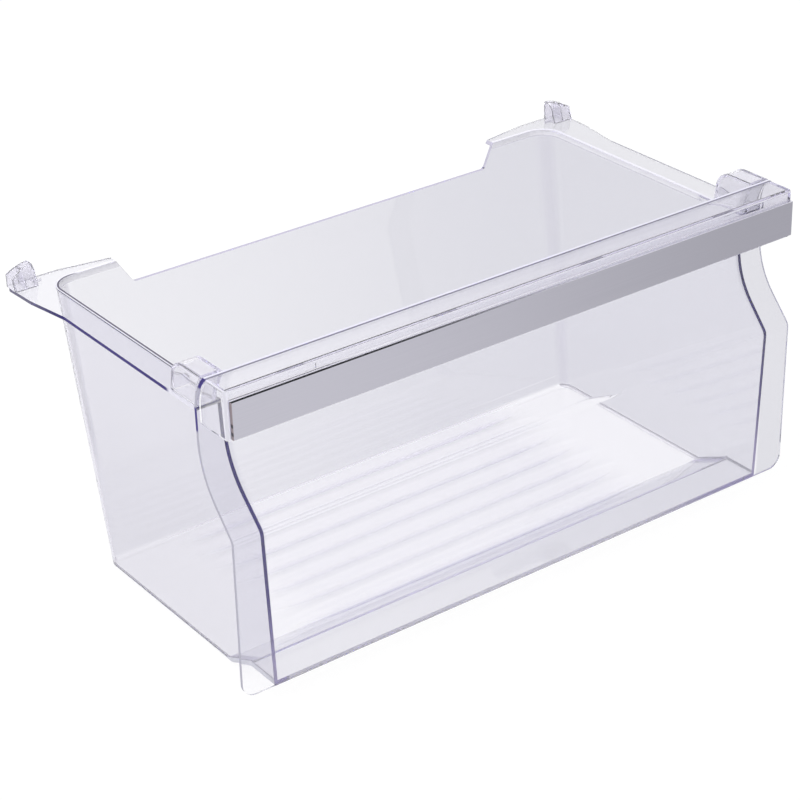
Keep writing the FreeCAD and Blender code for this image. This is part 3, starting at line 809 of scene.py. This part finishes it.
print("ramp from", RAMP_START_Y, "to", RAMP_END_Y, "rises", SHELF_HEIGHT)

# %% [markdown]
# Left rear corner. The real one looks as clear as the walls beside it. It could keep the
# walls' tint, and a weak paint that is paler than this tint makes it lighter. Then the
# layers are laid over each other, and the tub's material is made.

# %% Corner and tub finish
CORNER_PAINT = (0.97, 0.96, 1.0, 1.0)
CORNER_SHARE = 0.3
CORNER_TURN = (0.15, 0.35)
CORNER_LEFT = (-0.15, -0.17)
BELOW_RIM = (0.203, 0.202)


def corner_paint(tree, tub):
    """The left rear corner, below the rim."""
    slant = product(tree, tub.across, tub.along)
    mask = product(
        tree, ramp(tree, slant, *CORNER_TURN), tub.rear, ramp(tree, tub.x, *CORNER_LEFT),
        ramp(tree, tub.z, *BELOW_RIM),
    )
    return mask, CORNER_PAINT, CORNER_SHARE


TUB_LAYERS = (
    rim_side_paint, wall_top_paint, wall_strip_paint, sill_paint, cutout_end_paint, foot_paint,
    bend_paint, corner_paint,
)


def tub_edge(tree):
    """Mask and colour of all painted edges of the tub."""
    tub = tub_surface(tree)
    return painted(tree, *joint_paint(tree, tub), *[layer(tree, tub) for layer in TUB_LAYERS])


tub_finish = clear_plastic("clear_tub_plastic", tub_tint_and_shade, tub_edge)

# %% [markdown]
# Front panel. It is nearly clear between the tub's walls. Its two wings stand free of
# the tub and carry more tint. Painted shade darkens the right wing, and painted light
# makes the foot of the left wing paler. A distance from the middle finds the wings, so
# one material serves the whole panel.

# %% Panel tint
WING = (0.2075, 0.2100)
WING_FOOT = (0.06, 0.02)
# The right wing is darker by painted shade, and the foot of the left wing paler by painted light.
WING_TINT_AND_SHADE = (0.91, 0.91, 0.93, 1.0), (0.75, 0.75, 0.78, 1.0)
WING_FOOT_LIGHT_AND_SHADE = (1.0, 1.0, 1.0, 1.0), (0.75, 0.75, 0.78, 1.0)


def panel_tint_light_and_shade(tree):
    """Faint tint in the middle and a stronger one on the wings, with painted shade on the right wing and
    painted light at the foot of the left one.
    """
    place = object_place(tree)
    low = ramp(tree, place["Z"], *WING_FOOT)
    wings = mixed(tree, low, left_to_right(tree, *WING_TINT_AND_SHADE), left_to_right(tree, *WING_FOOT_LIGHT_AND_SHADE))
    return mixed(tree, ramp(tree, absolute(tree, place["X"]), *WING), CLEAR_TINT, wings)


print("wings start", WING[0], "m from the middle")

# %% [markdown]
# Panel edges. The left wing's side is greyish violet, and deep violet beside the rim and
# at its very top. The right wing's side is seen through the plastic and stays clear. The
# foot is pale with a violet right end, and the top carries the thin line behind the grip.

# %% Panel edges
WING_SIDES = (0.46, 0.45, 0.52, 1.0), (0.90, 0.89, 0.93, 1.0)
WING_VIOLET = (0.05, 0.035, 0.20, 1.0)
FACES_SIDE = (0.5, 0.7)
FACES_DOWN = (0.5, 0.7)
LEFT_WING = (0.01, -0.01)
BESIDE_RIM = (0.1900, 0.1925), (0.2085, 0.2065)
WING_TOP = (0.2205, 0.2225)
FOOT_EDGE = (0.76, 0.73, 0.90, 1.0)
FOOT_VIOLET = (0.62, 0.55, 0.95, 1.0)
FOOT_VIOLET_FROM = (0.10, 0.20)
FOOT_SHARE = 0.15
PANEL_FOOT_HEIGHT = (0.016, 0.014)
TOP_FACES_UP = (0.8, 0.9)
PANEL_TOP_HEIGHT = (0.228, 0.2295)
TOP_PALE = (0.79, 0.78, 0.85, 1.0)
TOP_LINE = (0.23, 0.22, 0.27, 1.0)
TOP_LINE_EDGE = (-0.1048, -0.1050)


def panel_edge(tree):
    """Mask and colour of the panel's left side, foot and top."""
    place = object_place(tree)
    normal = object_normal(tree)
    level = absolute(tree, normal["Z"])
    on_left = ramp(tree, place["X"], *LEFT_WING)
    side = product(tree, ramp(tree, absolute(tree, normal["X"]), *FACES_SIDE), on_left)
    high = largest(tree, band(tree, place["Z"], *BESIDE_RIM), ramp(tree, place["Z"], *WING_TOP))
    side_color = mixed(tree, product(tree, high, on_left), left_to_right(tree, *WING_SIDES), WING_VIOLET)

    foot = product(
        tree, ramp(tree, level, *FACES_DOWN), ramp(tree, place["Z"], *PANEL_FOOT_HEIGHT),
    )
    right_end = ramp(tree, place["X"], *FOOT_VIOLET_FROM)
    foot_color = mixed(tree, right_end, FOOT_EDGE, FOOT_VIOLET)
    foot_share = largest(tree, right_end, FOOT_SHARE)

    top = product(tree, ramp(tree, level, *TOP_FACES_UP), ramp(tree, place["Z"], *PANEL_TOP_HEIGHT))
    top_color = mixed(tree, ramp(tree, place["Y"], *TOP_LINE_EDGE), TOP_PALE, TOP_LINE)
    return painted(
        tree, side, side_color, (foot, foot_color, foot_share), (top, top_color, FULL_SHARE),
    )


panel_finish = clear_plastic("clear_panel_plastic", panel_tint_light_and_shade, panel_edge)

# %% [markdown]
# Brushed strip. The trim on the grip is a satin silver strip with very fine lengthwise
# brushing. Real scratches would be far too fine for a mesh, so noise that is stretched
# along X gives the brushing its colour and roughness.

# %% Brushing
BRUSH_SCALE = (6.0, 2500.0, 2500.0)
BRUSH_DETAIL = 4.0
BRUSH_ROUGHNESS = 0.6
SILVER_TONES = {0.3: (0.545, 0.535, 0.605, 1.0), 0.7: (0.585, 0.575, 0.645, 1.0)}
SILVER_LIGHT = (1.0, 1.0, 1.0, 1.0), (0.67, 0.67, 0.68, 1.0)
STRIP_ROUGHNESS = (0.3, 0.42)


def brushing(tree):
    """Noise drawn out along the strip."""
    coordinates = add(tree, "ShaderNodeTexCoord")
    stretch = add(tree, "ShaderNodeMapping", Scale=BRUSH_SCALE)
    grain = add(tree, "ShaderNodeTexNoise", Scale=1.0, Detail=BRUSH_DETAIL, Roughness=BRUSH_ROUGHNESS)
    tree.links.new(coordinates.outputs["Object"], stretch.inputs["Vector"])
    tree.links.new(stretch.outputs[0], grain.inputs["Vector"])
    return grain.outputs["Fac"]


def silver_color(tree, grain):
    """Silver between two close tones, darker to the right."""
    tone = add(tree, "ShaderNodeValToRGB")
    for element, (position, color) in zip(tone.color_ramp.elements, SILVER_TONES.items()):
        element.position = position
        element.color = color
    tree.links.new(grain, tone.inputs["Fac"])
    shaded = add(tree, "ShaderNodeMix", Factor=1.0)
    shaded.data_type = "RGBA"
    shaded.blend_type = "MULTIPLY"
    tree.links.new(tone.outputs["Color"], shaded.inputs[MIX_COLOR_A])
    tree.links.new(left_to_right(tree, *SILVER_LIGHT), shaded.inputs[MIX_COLOR_B])
    return shaded.outputs[MIX_COLOR_RESULT]


print("brushing is drawn out", round(BRUSH_SCALE[1] / BRUSH_SCALE[0]), "times")

# %% [markdown]
# Sides of the strip. Seen through the clear cap, the strip's upper side shows a dark line
# at its front, strong at the left, and a pale gap behind it; the dark line is painted
# shadow in the gap under the cap's lip. Its left end is brownish with two dark spots, and
# the right end, which doesn't show, is given the same. These marks could be pieces of their
# own, but they are flat, so they are painted by the way each side of the strip faces.

# %% Strip finish
STRIP_FACE = (0.4, 0.8)
# Painted shadow: the dark line in the gap under the cap's lip.
GAP_SHADOW = (0.02, 0.02, 0.025, 1.0)
GAP_PALE = (0.78, 0.77, 0.84, 1.0)
GAP_FADE = (0.08, -0.12)
FRONT_LINE_Y = (-0.1279, -0.1283)
END_BROWN = (0.30, 0.25, 0.27, 1.0)
END_DARK = (0.06, 0.055, 0.07, 1.0)
SMUDGE_HEIGHTS = (0.2075, 0.2020)
SMUDGE_REACH = (0.0016, 0.0008)
BACK_PALE = (0.80, 0.80, 0.85, 1.0)
GROOVE_FROM = (-0.1276, -0.1272)


def gap_shade(tree):
    """Shade on the strip's upper side: a dark line in front and a pale gap behind it."""
    place = object_place(tree)
    front_line = product(tree, ramp(tree, place["X"], *GAP_FADE), ramp(tree, place["Y"], *FRONT_LINE_Y))
    return mixed(tree, front_line, GAP_PALE, GAP_SHADOW)


def end_shade(tree):
    """Brown of the strip's end returns with two dark spots, pale inside the groove."""
    place = object_place(tree)
    spots = []
    for middle in SMUDGE_HEIGHTS:
        distance = absolute(tree, calculated(tree, "SUBTRACT", place["Z"], middle))
        spots.append(ramp(tree, distance, *SMUDGE_REACH))
    brown = mixed(tree, largest(tree, *spots), END_BROWN, END_DARK)
    return mixed(tree, ramp(tree, place["Y"], *GROOVE_FROM), brown, BACK_PALE)


def brushed_strip(name):
    """Satin silver with fine lengthwise brushing."""
    material = bpy.data.materials.new(name)
    tree = node_tree(material)
    shader = add(tree, "ShaderNodeBsdfPrincipled", Metallic=1.0)
    normal = object_normal(tree)
    grain = brushing(tree)
    color = mixed(tree, ramp(tree, normal["Y"], *STRIP_FACE), silver_color(tree, grain), BACK_PALE)
    color = mixed(tree, ramp(tree, normal["Z"], *STRIP_FACE), color, gap_shade(tree))
    color = mixed(tree, ramp(tree, absolute(tree, normal["X"]), *STRIP_FACE), color, end_shade(tree))
    tree.links.new(color, shader.inputs["Base Color"])
    from_mask(tree, grain, *STRIP_ROUGHNESS, shader.inputs["Roughness"])
    out = add(tree, "ShaderNodeOutputMaterial")
    tree.links.new(shader.outputs[0], out.inputs["Surface"])
    print(name, "roughness", STRIP_ROUGHNESS, "nodes", len(tree.nodes))
    return material


strip_finish = brushed_strip("brushed_silver_strip")

# %% [markdown]
# Give every piece its finish. The moulded shapes are already right, so each piece only
# takes a material in all its slots.

# %% Finish the moulded pieces
FINISHES = {
    "trim_strip": strip_finish,
    "drawer_tub": tub_finish,
    "front_panel": panel_finish,
    "handle_cap": cap_finish,
    "left_corner_block": block_finish,
    "right_corner_block": block_finish,
    "left_rear_stop": stop_finish,
    "right_rear_stop": stop_finish,
}
for name in sorted(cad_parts):
    piece = bpy.data.objects[name]
    finish = FINISHES[name]
    for slot in piece.material_slots:
        slot.material = finish
    print(name, "faces", len(piece.data.polygons), "finish", finish.name)
